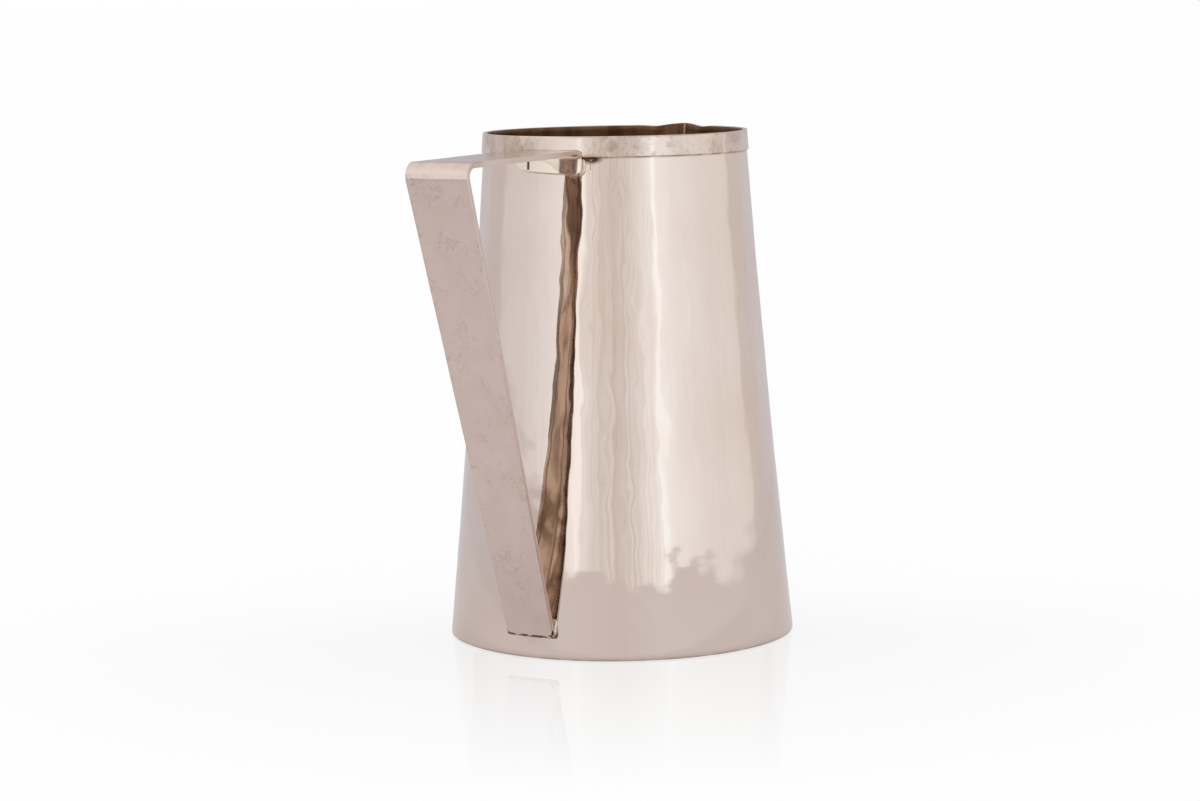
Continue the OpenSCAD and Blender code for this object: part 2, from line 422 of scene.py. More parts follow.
# Thin curved lines where hammer blows overlap
def blowLines(tree, coords, loops, width):
    middle = 0.5  # of the noise
    return fading(tree, apartFrom(tree, noiseValue(tree, coords, **loops), middle), 0, width)


def hammeredSilver(name):
    material, tree, shader = startMaterial(name)
    coords = objectCoords(tree)
    moved = addNode(tree, "VectorMath", {0: coords, 1: matte["shift"]}, operation="ADD").outputs["Vector"]
    place = placeOf(tree, coords)
    side = combined(tree, "ABSOLUTE", place["Y"])
    color = mixedColor(tree, noisePatch(tree, coords, **matte["clouds"]), matte["clean"], matte["warm"])
    # Painted shade on the narrow sides, past the taper of the face, dimming their highlight
    past = combined(tree, "SUBTRACT", side, times(tree, place["Z"], matte["sideTaper"]))
    color = mixedColor(tree, ranged(tree, past, **matte["sideShadeFade"]), color, matte["side"])
    large = blowLines(tree, coords, matte["loops"], matte["loopWidth"])
    small = blowLines(tree, moved, matte["smallLoops"], matte["smallLoopWidth"])
    line = times(tree, combined(tree, "MAXIMUM", large, small), noisePatch(tree, moved, **matte["lineZone"]))
    color = mixedColor(tree, times(tree, line, matte["lineShare"]), color, matte["line"])
    # Pits, most of them near the edges
    pits = times(
        tree, noisePatch(tree, coords, **matte["pits"]), noisePatch(tree, moved, **matte["pitZone"]),
        ranged(tree, side, **matte["pitEdge"]),
    )
    color = mixedColor(tree, pits, color, matte["pit"])
    # Brown patches darken the top of the fold
    foldTopBrown = times(
        tree, noisePatch(tree, coords, **matte["foldTopBrown"]), ranged(tree, place["Z"], **matte["foldTop"]),
        fading(tree, place["X"], **matte["foldPlace"]),
    )
    color = mixedColor(tree, foldTopBrown, color, matte["pit"])
    rough = noisePatch(tree, coords, **matte["rough"])
    normal = bumped(tree, noiseValue(tree, coords, **matte["loops"]), matte["loopDepth"])
    normal = bumped(tree, line, matte["lineDepth"], normal)
    normal = bumped(tree, pits, matte["pitDepth"], normal)
    finishShader(tree, shader, color, rough, normal)
    return material


solderLook = {
    "clean": (0.76, 0.64, 0.57, 1),
    "brown": (0.6, 0.47, 0.39, 1),
    "dark": (0.14, 0.09, 0.06, 1),
    "stain": {"size": 0.006, "detail": 4, "low": 0.4, "high": 0.62},
    "sootGrain": {"size": 0.0018, "detail": 4},
    "footSoot": {"low": 0.009, "high": 0.012, "most": 0.2},
    "soot": {"low": 0.63, "high": 0.72},
    "rough": {"size": 0.002, "detail": 3, "low": 0.3, "high": 0.7, "toLow": 0.12, "toHigh": 0.3},
    "lumps": {"size": 0.0015, "detail": 3, "depth": 0.00006},
}


# Stained, sooty solder, darkest at the foot of the strap: soot, with painted shade of the gap under the foot
def solderSilver(name):
    material, tree, shader = startMaterial(name)
    coords = objectCoords(tree)
    stain = noisePatch(tree, coords, **solderLook["stain"])
    color = mixedColor(tree, stain, solderLook["clean"], solderLook["brown"])
    # Soot with painted shade under the foot
    low = fading(tree, placeOf(tree, coords)["Z"], **solderLook["footSoot"])
    grain = noiseValue(tree, coords, **solderLook["sootGrain"])
    soot = ranged(tree, combined(tree, "ADD", grain, low), **solderLook["soot"])
    color = mixedColor(tree, soot, color, solderLook["dark"])
    rough = noisePatch(tree, coords, **solderLook["rough"])
    normal = noiseBump(tree, coords, **solderLook["lumps"])
    finishShader(tree, shader, color, rough, normal)
    return material


# Brown tarnish that polishing could not reach, in runs up and down, which painted shade closes over towards
# the rim
tarnish = {
    "runStretch": (1, 1, 0.1),
    "runs": {"detail": 4, "low": 0.36, "high": 0.56},
    "climb": {"low": 0.12, "high": 0.165},
    "rough": {"size": 0.01, "detail": 4, "low": 0.3, "high": 0.7},
    "dents": {"size": 0.006, "detail": 3, "depth": 0.00003},
}


def tarnishedSilver(name, look, addMarksAndLight):
    material, tree, shader = startMaterial(name)
    coords = objectCoords(tree)
    place = placeOf(tree, coords)
    runCoords = stretched(tree, coords, tarnish["runStretch"])
    runs = noisePatch(tree, runCoords, look["runSize"], **tarnish["runs"])
    color = mixedColor(tree, runs, look["brown"], look["light"])
    # Painted shade, darker towards the top
    climb = ranged(tree, place["Z"], **tarnish["climb"], toHigh=look["topShade"])
    color = mixedColor(tree, climb, color, look["brown"])
    color = addMarksAndLight(tree, coords, place, color)
    rough = noisePatch(tree, coords, **tarnish["rough"], toLow=look["roughLow"], toHigh=look["roughHigh"])
    normal = noiseBump(tree, coords, **tarnish["dents"])
    finishShader(tree, shader, color, rough, normal, look["metal"])
    return material


insideTarnish = {
    "brown": (0.116, 0.041, 0.01, 1),
    "light": (0.58, 0.36, 0.19, 1),
    "runSize": 0.006,
    "topShade": 0.84,
    "roughLow": 0.22,
    "roughHigh": 0.4,
    "metal": 0.58,
    # The last three set where the painted highlight on the lip's crease lies
    "creaseHighlightFade": {"low": 0.0002, "high": 0.0005, "most": 0.4},
    "creaseReach": {"low": 0.03, "high": 0.045},
    "creaseTop": {"low": 0.191, "high": 0.198},
}


# Painted highlight along the crease of the lip
def insideCreaseHighlight(tree, coords, place, color):
    aside = combined(tree, "ABSOLUTE", place["Y"])
    creaseHighlight = times(
        tree, fading(tree, aside, **insideTarnish["creaseHighlightFade"]),
        ranged(tree, place["X"], **insideTarnish["creaseReach"]),
        ranged(tree, place["Z"], **insideTarnish["creaseTop"]),
    )
    return mixedColor(tree, creaseHighlight, color, polish["clean"])


# A line of painted shade is the slope and offset of its y by height
strapTarnish = {
    "brown": (0.395, 0.32, 0.265, 1),
    "light": (0.77, 0.645, 0.54, 1),
    "runSize": 0.007,
    "topShade": 0.15,
    "roughLow": 0.05,
    "roughHigh": 0.12,
    "metal": 0.88,
    "shadeLines": ((0.0188, 0.0064), (-0.0188, -0.0024)),
    "shadeLineFade": {"low": 0.0003, "high": 0.0009, "most": 0.65},
    "blotch": {"size": 0.008, "detail": 4, "distortion": 0.5, "low": 0.4, "high": 0.58},
    "blotchHeight": 0.054,
    "blotchFade": {"low": 0.007, "high": 0.014, "most": 0.68},
    "clean": (0.86, 0.74, 0.65, 1),
    "cleanHeight": {"low": 0.174, "high": 0.184},
    "cleanSide": {"low": -0.085, "high": -0.07},
}


# Two lines of painted shade and a dark blotch down the leg, and the tab clean with one dark stroke
def strapMarksAndShade(tree, coords, place, color):
    look = strapTarnish
    # Painted shade in two lines down the leg
    for slope, offset in look["shadeLines"]:
        middle = combined(tree, "ADD", times(tree, place["Z"], slope), offset)
        line = fading(tree, apartFrom(tree, place["Y"], middle), **look["shadeLineFade"])
        color = mixedColor(tree, line, color, solderLook["dark"])
    blotch = fading(tree, apartFrom(tree, place["Z"], look["blotchHeight"]), **look["blotchFade"])
    blotch = times(tree, noisePatch(tree, coords, **look["blotch"]), blotch)
    color = mixedColor(tree, blotch, color, solderLook["dark"])
    onTab = ranged(tree, place["Z"], **look["cleanHeight"])
    onTab = times(tree, onTab, ranged(tree, place["X"], **look["cleanSide"]))
    color = mixedColor(tree, onTab, color, look["clean"])
    return mixedColor(tree, strokeMask(tree, coords, *burn["stroke"]), color, burn["color"])


wallSilver = polishedSilver("polishedSilver")
innerSilver = tarnishedSilver("strapInside", strapTarnish, strapMarksAndShade)
insideSilver = tarnishedSilver("jugInside", insideTarnish, insideCreaseHighlight)
bandSilver = smudgedSilver("smudgedSilver")
handleSilver = hammeredSilver("hammeredSilver")
jointSolder = solderSilver("jointSolder")
print("finishes ready")


def finishPiece(obj, material, slotName, *nodes):
    if material is not None:
        obj.data.materials.clear()
        obj.data.materials.append(material)
    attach(obj, "root")
    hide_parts(*nodes)
    triangles = sum(len(p.vertices) - 2 for p in obj.data.polygons)
    print(obj.name, "has", triangles, "triangles")


# Hammer marks shared by the wall and the band that lies on it, and how far each kind runs up the wall
blows = {
    "marks": {
        "drift": {"size": 0.03, "depth": 0.0003, "run": 1},
        "sway": {"size": 0.0075, "depth": 0.0003, "run": 2.4},
        "dents": {"size": 0.004, "depth": 0.00011, "run": 1.6},
    },
    "calmLow": 0.176,
    "calmHigh": 0.191,
    "calmShare": 0.3,
    "footHeight": 0.06,
    "dipPlace": (-0.0085, 0.17),
    "dipSpread": (0.0055, 0.015),
    "dipDepth": 0.00038,
    "leanPlace": -0.0053,
    "leanSpread": 0.012,
    "leanDepth": 0.00042,
    "leanFoot": 0.05,
    "leanTop": (0.187, 0.199),
}
guides = {}
for name, mark in blows["marks"].items():
    bpy.ops.object.empty_add(location=(0, 0, 0))
    guides[name] = bpy.context.active_object
    guides[name].scale = (1, 1, mark["run"])
bpy.context.view_layer.update()


def blowWeight(point):
    rim = spread(smoothStep(blows["calmLow"], blows["calmHigh"], point.z), 1, blows["calmShare"])
    return rim * smoothStep(0, blows["footHeight"], point.z)


# The heat of soldering drew the wall in a little below the tab
def heatDip(point):
    if point.x > 0:
        return 0
    across = (point.y - blows["dipPlace"][0]) / blows["dipSpread"][0]
    upward = (point.z - blows["dipPlace"][1]) / blows["dipSpread"][1]
    return math.exp(-(across * across + upward * upward) / 2)


# Outward swell of the wall on one side of the handle and hollow on the other
def sideLean(turn, z):
    if math.cos(turn) > 0:
        return 0
    across = (wallRadius(z) * math.sin(turn) - blows["leanPlace"]) / blows["leanSpread"]
    held = smoothStep(0, blows["leanFoot"], z) * (1 - smoothStep(*blows["leanTop"], z))
    return -blows["leanDepth"] * across * math.exp(-across * across / 2) * held


def hammerSheet(obj):
    group = weightGroup(obj, "blows", blowWeight)
    for name, mark in blows["marks"].items():
        hammer(
            obj, mark["depth"], 0.5, hammerTexture(name, mark["size"]), vertex_group=group,
            texture_coords="OBJECT", texture_coords_object=guides[name],
        )
    hammer(obj, -blows["dipDepth"], 0, vertex_group=weightGroup(obj, "dip", heatDip))


# Columns of the sheet, cut finer at the lip
sheetMesh = {
    "columns": 240,
    "lipCuts": 3,
    "lipSpan": math.radians(15),
}


# Open tube on the wall's outer face from low to high
def sheetTube(name, low, high, rows):
    bpy.ops.mesh.primitive_cone_add(
        vertices=sheetMesh["columns"], radius1=wallRadius(low), radius2=wallRadius(high), depth=high - low,
        end_fill_type="NOTHING", location=(0, 0, (low + high) / 2),
    )
    tube = newPiece(name)

    def isUpright(a, b):
        return abs(a.z - b.z) > tolerance["level"]

    def isOnLip(a, b):
        middle = (a + b) / 2
        return not isUpright(a, b) and abs(math.atan2(middle.y, middle.x)) < sheetMesh["lipSpan"]

    cutEdges(tube, isUpright, rows - 1)
    cutEdges(tube, isOnLip, sheetMesh["lipCuts"])
    for vertex in tube.data.vertices:
        turn = math.atan2(vertex.co.y, vertex.co.x)
        radius = wallRadius(vertex.co.z) + sideLean(turn, vertex.co.z)
        vertex.co = pullLip(Vector((radius * math.cos(turn), radius * math.sin(turn), vertex.co.z)))
    cleanNormals(tube)
    return tube


wall = {
    "rows": 100,
    "sheet": 0.001,
    "heelRound": 0.0006,
    "heelSteps": 3,
    "heelHeight": 0.0004,
    "heelShare": 0.95,
    "rimRound": 0.00025,
    "rimSteps": 2,
    "sharpest": 55,
    "widest": 0.06872,
}
bodyWall = sheetTube("bodyWall", 0, jug["height"], wall["rows"])
hammerSheet(bodyWall)
bodyWall.data.materials.append(wallSilver)
bodyWall.data.materials.append(insideSilver)
addModifier(
    bodyWall, "SOLIDIFY", thickness=wall["sheet"], offset=-1, use_even_offset=True, material_offset=1,
)


def isHeel(a, b):
    outside = jug["baseRadius"] - wall["sheet"] * wall["heelShare"]
    return max(a.z, b.z) < wall["heelHeight"] and min(a.to_2d().length, b.to_2d().length) > outside


pickEdges(bodyWall, isHeel)
bpy.ops.mesh.bevel(offset=wall["heelRound"], segments=wall["heelSteps"])
bpy.ops.object.mode_set(mode="OBJECT")
roundEdges(bodyWall, wall["rimRound"], wall["rimSteps"], wall["sharpest"])
for vertex in bodyWall.data.vertices:
    inward = min(1, wall["widest"] / vertex.co.to_2d().length)
    vertex.co = Vector((vertex.co.x * inward, vertex.co.y * inward, max(0, vertex.co.z)))
smoothShade(bodyWall)
finishPiece(bodyWall, None, "body_silver", "body_wall")

band = {
    "rows": 6,
    "thick": 0.0007,
    "round": 0.0002,
    "roundSteps": 2,
    "sharpest": 55,
}
rimBand = sheetTube("rimBand", bandEdge, jug["height"], band["rows"])
hammerSheet(rimBand)
addModifier(rimBand, "SOLIDIFY", thickness=band["thick"], offset=1, use_even_offset=True)
roundEdges(rimBand, band["round"], band["roundSteps"], band["sharpest"])
smoothShade(rimBand)
finishPiece(rimBand, bandSilver, "band_silver", "rim_band")
bpy.ops.object.select_all(action="DESELECT")
for guide in guides.values():
    guide.select_set(True)
bpy.ops.object.delete()

base = {
    "columns": 144,
    "rings": 46,
    "thick": 0.0012,
    "blowRadius": 0.066,
    "blowSize": 0.02,
    "blowDepth": 0.00025,
}


def onPlateTop(point):
    return 1 if point.z > base["thick"] / 2 and point.to_2d().length < base["blowRadius"] else 0


bpy.ops.mesh.primitive_circle_add(
    vertices=base["columns"], radius=wallRadius(0) - wall["sheet"], fill_type="TRIFAN",
    location=(0, 0, base["thick"]),
)
basePlate = newPiece("basePlate")
cutEdges(basePlate, lambda a, b: min(a.to_2d().length, b.to_2d().length) < tolerance["merge"], base["rings"])
cleanNormals(basePlate)
addModifier(basePlate, "SOLIDIFY", thickness=base["thick"], offset=-1)
topGroup = weightGroup(basePlate, "topFace", onPlateTop)
hammer(basePlate, base["blowDepth"], 1, hammerTexture("plateBlows", base["blowSize"]), vertex_group=topGroup)
smoothShade(basePlate)
finishPiece(basePlate, insideSilver, "body_silver", "base_plate")

handle = {
    "thick": 0.002,
    "foldWidth": 0.027,
    "armNear": 0.01555,
    "armFar": 0.01315,
    "footWidth": 0.0202,
    "reach": 0.129,
    "foldRadius": 0.0055,
    "armTop": 0.194,
    "armRise": 0.0009,
    "footHeight": 0.0091,
    "footEdge": 0.0012,
    "footCorner": 0.0022,
    "tabRadius": 0.0035,
    "tabHeight": 0.0058,
    "tabTilt": 0.0005,
    "tabFarCorner": (0.0068, 0.0045),
    "tabNearCorner": (0.0018, 0.0018),
    "tabRows": 10,
    "turnRows": 10,
    "armRows": 86,
    "foldRows": 16,
    "legRows": 226,
    "columns": 34,
    "sink": 0.0004,
    "round": 0.0006,
    "roundSteps": 4,
    "sharpest": 50,
    "dentSize": 0.011,
    "dentDepth": 0.00012,
    "swaySize": 0.035,
    "swayDepth": 0.0003,
}
turnZ = handle["armTop"] + handle["armRise"] - handle["tabRadius"]
turnX = wallRadius(turnZ) + handle["tabRadius"]
tabLow = handle["armTop"] - handle["thick"] - handle["tabHeight"]
footX = wallRadius(handle["footHeight"]) + handle["footEdge"]
legLean = math.atan2(handle["reach"] - footX, handle["armTop"] - handle["footHeight"])
foldX = handle["reach"] - handle["foldRadius"] / math.tan((math.pi / 2 - legLean) / 2)
foldZ = handle["armTop"] - handle["foldRadius"]
legTopX = foldX + handle["foldRadius"] * math.cos(legLean)
legTopZ = foldZ - handle["foldRadius"] * math.sin(legLean)


def cornerCut(width, height, above):
    back = 1 - min(1, max(0, above / height))
    return width * (1 - math.sqrt(1 - back * back))


def onCircle(radius, y, z):
    return Vector((-math.sqrt(radius * radius - y * y), y, z))


# Place on the strap's outer face: across from -1 to 1, row from the tab's end down to the foot
def strapPoint(across, row):
    wallEdge = handle["armFar"] if across > 0 else handle["armNear"]
    if row <= handle["tabRows"]:
        low = tabLow + handle["tabTilt"] * across
        z = spread(row / handle["tabRows"], low, turnZ)
        corner = handle["tabFarCorner"] if across > 0 else handle["tabNearCorner"]
        y = across * (wallEdge - cornerCut(*corner, z - low))
        return onCircle(wallRadius(z) - handle["sink"], y, z)
    row -= handle["tabRows"]
    if row <= handle["turnRows"]:
        share = row / handle["turnRows"]
        turn = spread(share, math.pi, math.pi / 2)
        radius = turnX - handle["sink"] * (1 - share) + handle["tabRadius"] * math.cos(turn)
        return onCircle(radius, across * wallEdge, turnZ + handle["tabRadius"] * math.sin(turn))
    row -= handle["turnRows"]
    if row <= handle["armRows"]:
        share = row / handle["armRows"]
        y = across * spread(share, wallEdge, handle["foldWidth"] / 2)
        z = handle["armTop"] + handle["armRise"] * (1 - share)
        return Vector((-spread(share, math.sqrt(turnX ** 2 - y * y), foldX), y, z))
    row -= handle["armRows"]
    if row <= handle["foldRows"]:
        turn = spread(row / handle["foldRows"], math.pi / 2, -legLean)
        x = foldX + handle["foldRadius"] * math.cos(turn)
        z = foldZ + handle["foldRadius"] * math.sin(turn)
        return Vector((-x, across * handle["foldWidth"] / 2, z))
    share = (row - handle["foldRows"]) / handle["legRows"]
    x = spread(share, legTopX, footX)
    z = spread(share, legTopZ, handle["footHeight"])
    half = spread(share, handle["foldWidth"], handle["footWidth"]) / 2
    half -= cornerCut(handle["footCorner"], handle["footCorner"], z - handle["footHeight"])
    return Vector((-x, across * half, z))


strapRows = sum(handle[key] for key in ("tabRows", "turnRows", "armRows", "foldRows", "legRows"))
bpy.ops.mesh.primitive_grid_add(x_subdivisions=handle["columns"], y_subdivisions=strapRows, size=2)
handleStrap = newPiece("handleStrap")
for vertex in handleStrap.data.vertices:
    vertex.co = strapPoint(vertex.co.x, round((vertex.co.y + 1) / 2 * strapRows))
hammer(handleStrap, handle["swayDepth"], 1, hammerTexture("strapSway", handle["swaySize"]))
hammer(handleStrap, handle["dentDepth"], 1, hammerTexture("strapDents", handle["dentSize"]))
handleStrap.data.materials.append(handleSilver)
handleStrap.data.materials.append(innerSilver)
addModifier(
    handleStrap, "SOLIDIFY", thickness=handle["thick"], offset=-1, use_even_offset=True, material_offset=1,
)
roundEdges(handleStrap, handle["round"], handle["roundSteps"], handle["sharpest"], material=0)
# The foot is filed to the curve of the wall
for vertex in handleStrap.data.vertices:
    flat = vertex.co.to_2d()
    limit = wallRadius(vertex.co.z) - handle["sink"]
    if flat.length < limit:
        flat *= limit / flat.length
        vertex.co.x, vertex.co.y = flat
smoothShade(handleStrap)
finishPiece(handleStrap, None, "handle_silver", "handle_strap")

solder = {
    "lumpSize": 0.003,
    "lumpDepth": 0.00012,
    "bead": 0.0007,
    "beadNear": 0.0011,
    "beadShift": 0.0004,
    "nearSpan": 0.004,
    "beadRounds": 14,
    "beadRows": 160,
    "beadEnds": 8,
    "beadTop": 0.1917,
    "beadShade": 60,
    "cornerSteps": 10,
    "fillSteps": 8,
    "fillRise": 0.0001,
    "fillSink": 0.0003,
    "fillInset": 0.0003,
    "fillRows": 80,
    "fillEnds": 6,
    "bury": 0.0003,
    "meltFactor": 0.5,
    "meltShade": 180,
    "lowerMelt": {"voxel": 0.0002, "melts": 12, "swell": 0.00015},
    "baseMelt": {"voxel": 0.0006, "melts": 3, "swell": 0.0001},
}
lumpTexture = hammerTexture("lumps", solder["lumpSize"])


# Edge of the tab as y and z, from the near side round both corners to the far side
def tabEdge():
    near, far = handle["armNear"], handle["armFar"]
    nearLow, farLow = tabLow - handle["tabTilt"], tabLow + handle["tabTilt"]
    nearWidth, nearHeight = handle["tabNearCorner"]
    farWidth, farHeight = handle["tabFarCorner"]
    turns = [math.pi / 2 * step / solder["cornerSteps"] for step in range(solder["cornerSteps"] + 1)]
    spots = [(-near, solder["beadTop"])]
    for turn in turns:
        spots.append((nearWidth * (1 - math.cos(turn)) - near, nearLow + nearHeight * (1 - math.sin(turn))))
    for turn in turns:
        spots.append((far - farWidth * (1 - math.sin(turn)), farLow + farHeight * (1 - math.cos(turn))))
    spots.append((far, solder["beadTop"]))
    return spots


# The same line in even steps
def evenly(spots, rows):
    lengths = [math.dist(a, b) for a, b in zip(spots, spots[1:])]
    path = []
    for row in range(rows + 1):
        left = sum(lengths) * row / rows
        at = 0
        while at < len(lengths) - 1 and left > lengths[at]:
            left -= lengths[at]
            at += 1
        share = min(1, left / lengths[at])
        path.append(tuple(spread(share, a, b) for a, b in zip(spots[at], spots[at + 1])))
    return path


# 0 at both ends of a run of rows and 1 along its middle, like a rounded end
def roundEnd(row, rows, ends):
    share = min(1, row / ends, (rows - row) / ends)
    return math.sqrt(share * (2 - share))


# Closed skin over a row of rings
def loftRings(name, rings):
    count = len(rings[0])
    bpy.ops.mesh.primitive_grid_add(x_subdivisions=count, y_subdivisions=len(rings) - 1, size=2)
    piece = newPiece(name)
    for vertex in piece.data.vertices:
        ring = rings[round((vertex.co.y + 1) / 2 * (len(rings) - 1))]
        vertex.co = ring[round((vertex.co.x + 1) / 2 * count) % count]
    cleanNormals(piece)
    return piece


# More solder ran to the near end of the tab
def nearShare(y):
    return 1 - smoothStep(0, solder["nearSpan"], y + handle["armNear"])


def beadRings():
    rows = solder["beadRows"]
    turns = [2 * math.pi * step / solder["beadRounds"] for step in range(solder["beadRounds"])]
    path = []
    for y, z in evenly(tabEdge(), rows):
        path.append(onCircle(wallRadius(z), y - solder["beadShift"] * nearShare(y), z))
    rings = []
    for row, center in enumerate(path):
        ahead = path[min(row + 1, rows)] - path[max(row - 1, 0)]
        outward = Vector((center.x, center.y, 0)).normalized()
        aside = ahead.cross(outward).normalized()
        thick = spread(nearShare(center.y), solder["bead"], solder["beadNear"])
        thick *= roundEnd(row, rows, solder["beadEnds"])
        ring = []
        for turn in turns:
            rise = max(thick * math.cos(turn), -solder["bury"])
            ring.append(center + outward * rise + aside * thick * math.sin(turn))
        rings.append(ring)
    return rings


# Wedge between the band and the turn of the arm, flush with the arm
def fillRings():
    top = handle["armTop"] + handle["armRise"]
    bury = solder["bury"]
    steps = solder["fillSteps"]
    spots = []
    for step in range(steps + 1):
        share = step / steps
        rise = solder["fillRise"] * (1 - share) ** 2 - solder["fillSink"] * share
        spots.append((spread(share, wallRadius(top) + band["thick"] - bury, turnX), top + rise))
    for step in range(1, steps + 1):
        turn = spread(step / steps, math.pi / 2, math.pi)
        reach = handle["tabRadius"] - bury
        spots.append((turnX + reach * math.cos(turn), turnZ + reach * math.sin(turn)))
    spots.append((wallRadius(turnZ) - bury, turnZ))
    middle = [sum(values) / len(spots) for values in zip(*spots)]
    near = solder["fillInset"] - handle["armNear"]
    far = handle["armFar"] - solder["fillInset"]
    rows = solder["fillRows"]
    rings = []
    for row in range(rows + 1):
        y = spread(row / rows, near, far)
        size = roundEnd(row, rows, solder["fillEnds"])
        sized = [[spread(size, m, value) for m, value in zip(middle, spot)] for spot in spots]
        rings.append([onCircle(radius, y, z) for radius, z in sized])
    return rings


fill = loftRings("fill", fillRings())
upperSolder = loftRings("upperSolder", beadRings())
fill.select_set(True)
bpy.ops.object.join()
hammer(upperSolder, solder["lumpDepth"], 0.5, lumpTexture)
smoothShade(upperSolder, solder["beadShade"])
finishPiece(upperSolder, jointSolder, "solder", "upper_handle_solder")


# Solder starts from the CAD fillet and is melted smooth
def solderPiece(name, node, voxel, melts, swell):
    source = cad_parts[node]
    selectOnly(source)
    bpy.ops.object.duplicate()
    piece = newPiece(name)
    cleanNormals(piece)
    addModifier(piece, "REMESH", mode="VOXEL", voxel_size=voxel)
    addModifier(piece, "SMOOTH", factor=solder["meltFactor"], iterations=melts)
    hammer(piece, swell, 0)
    hammer(piece, solder["lumpDepth"], 0.5, lumpTexture)
    smoothShade(piece, solder["meltShade"])
    finishPiece(piece, jointSolder, "solder", node)


solderPiece("lowerSolder", "lower_handle_solder", **solder["lowerMelt"])
solderPiece("baseSolder", "base_solder", **solder["baseMelt"])
print("pieces built")

# Stage: white floor, a light tent that only reflections see, and the camera of the photo
stage = {
    "azimuth": math.radians(-58.96),
    "sides": 128,
    "tentRadius": 0.7,
    "tentHeight": 0.75,
    "tentBelow": 0.006,
    "tentAbove": 0.002,
    "cardOverhang": 0.01,
    "cardDrop": 0.003,
}


def colorRamp(tree, value, stops):
    node = addNode(tree, "ValToRGB", {"Fac": value})
    ramp = node.color_ramp
    while len(ramp.elements) < len(stops):
        ramp.elements.new(0.5)
    for element, (degrees, color) in zip(ramp.elements, stops):
        element.position = 0.5 + degrees / 360
        element.color = (*color, 1) if isinstance(color, tuple) else (color, color, color, 1)
    return node.outputs["Color"]


# Share of a turn around the jug, a half towards the camera
def aroundJug(tree, coords):
    inputs = {"Vector": coords, "Rotation": (0, 0, math.pi / 2 - stage["azimuth"])}
    turned = addNode(tree, "Mapping", inputs).outputs["Vector"]
    return addNode(tree, "TexGradient", {"Vector": turned}, gradient_type="RADIAL").outputs["Fac"]


# Distance behind the jug's axis, away from the camera
def depthBehind(tree, coords):
    inputs = {"Vector": coords, "Rotation": (0, 0, -stage["azimuth"])}
    return placeOf(tree, addNode(tree, "Mapping", inputs).outputs["Vector"])["Y"]


def reachOf(tree, coords):
    return addNode(tree, "VectorMath", {0: coords}, operation="LENGTH").outputs["Value"]


def blendShaders(tree, share, first, second):
    blend = addNode(tree, "MixShader", {0: share, 1: first.outputs[0], 2: second.outputs[0]})
    output = next(n for n in tree.nodes if n.type == "OUTPUT_MATERIAL")
    tree.links.new(blend.outputs["Shader"], output.inputs["Surface"])


def reflectionOnly(obj, material):
    obj.data.materials.append(material)
    obj.visible_camera = False
    obj.visible_diffuse = False
    obj.visible_shadow = False
    obj.visible_transmission = False


# Brightness of the surroundings by direction, in degrees from the camera to the right.
# The top is lit on the side of the handle. Borders are the lower edge of the panels, in borderUnits.
tentLook = {
    "panels": [
        (-180, (0.44, 0.405, 0.42)), (-166, (0.64, 0.6, 0.635)),
        (-140, (0.7, 0.68, 0.71)), (-112, (0.71, 0.675, 0.685)),
        (-106, (0.73, 0.7, 0.7)), (-100, (0.83, 0.82, 0.82)),
        (-73, (0.88, 0.885, 0.89)), (-61, (0.96, 0.98, 0.99)),
        (-45, (1.08, 1.1, 1.11)), (-34, (1.12, 1.16, 1.17)),
        (-31.5, (1.22, 1.28, 1.3)), (-29.5, (1.22, 1.28, 1.3)),
        (-27, (1.07, 1.09, 1.09)), (-20, (0.95, 0.95, 0.94)),
        (-12, (0.87, 0.85, 0.83)), (0, (0.81, 0.78, 0.76)),
        (8, (0.88, 0.86, 0.85)), (15, (0.97, 0.97, 0.97)),
        (24, (1.08, 1.12, 1.14)), (28, (1.14, 1.2, 1.23)),
        (30, (1.28, 1.4, 1.46)), (32, (1.26, 1.37, 1.43)),
        (34, (1.14, 1.2, 1.23)), (49, (1.05, 1.08, 1.1)),
        (75, (0.96, 0.97, 0.97)), (98, (0.945, 0.945, 0.93)),
        (105, (0.92, 0.91, 0.89)), (108, (0.78, 0.75, 0.735)),
        (122, (0.74, 0.72, 0.725)), (140, (0.735, 0.72, 0.75)),
        (166, (0.64, 0.6, 0.635)), (180, (0.44, 0.405, 0.42)),
    ],
    "skirt": [
        (-180, (0.66, 0.645, 0.7)), (-115, (0.68, 0.665, 0.69)),
        (-60, (0.66, 0.63, 0.63)), (-40, (0.79, 0.77, 0.775)),
        (0, (0.755, 0.72, 0.715)), (24, (0.8, 0.785, 0.79)),
        (61, (0.785, 0.765, 0.765)), (85, (0.76, 0.75, 0.75)),
        (110, (0.71, 0.69, 0.695)), (180, (0.66, 0.645, 0.7)),
    ],
    "borders": [
        (-180, 0.95), (-85, 0.93), (-73, 0.72), (-53, 0.5),
        (-37, 0.32), (24, 0.3), (37, 0.38), (61, 0.27),
        (75, 0.1), (88, 0), (110, 0), (180, 0.05),
    ],
    "borderUnit": 0.1,
    "sharpTurn": 0.535,
    "softness": {"low": 0.15, "high": 0.3, "toLow": 0.003, "toHigh": 0.025},
    "top": [
        (-180, 0.58), (-165, 0.72), (-150, 0.95), (-70, (1.04, 1.04, 1.0)), (-52, (1.06, 1.06, 1.02)),
        (-38, 0.8), (40, 0.85), (70, 0.45), (150, 0.45), (180, 0.58),
    ],
    "topFade": {"low": 0.36, "high": 0.5},
    "streakCount": 190,
    "streakRise": 4,
    "streaks": {"size": 1, "detail": 4, "low": 0.25, "high": 0.75, "toLow": 0.84, "toHigh": 1.14},
    "room": {"low": 0.06, "high": 0.1, "toLow": 1, "toHigh": 0.2},
}
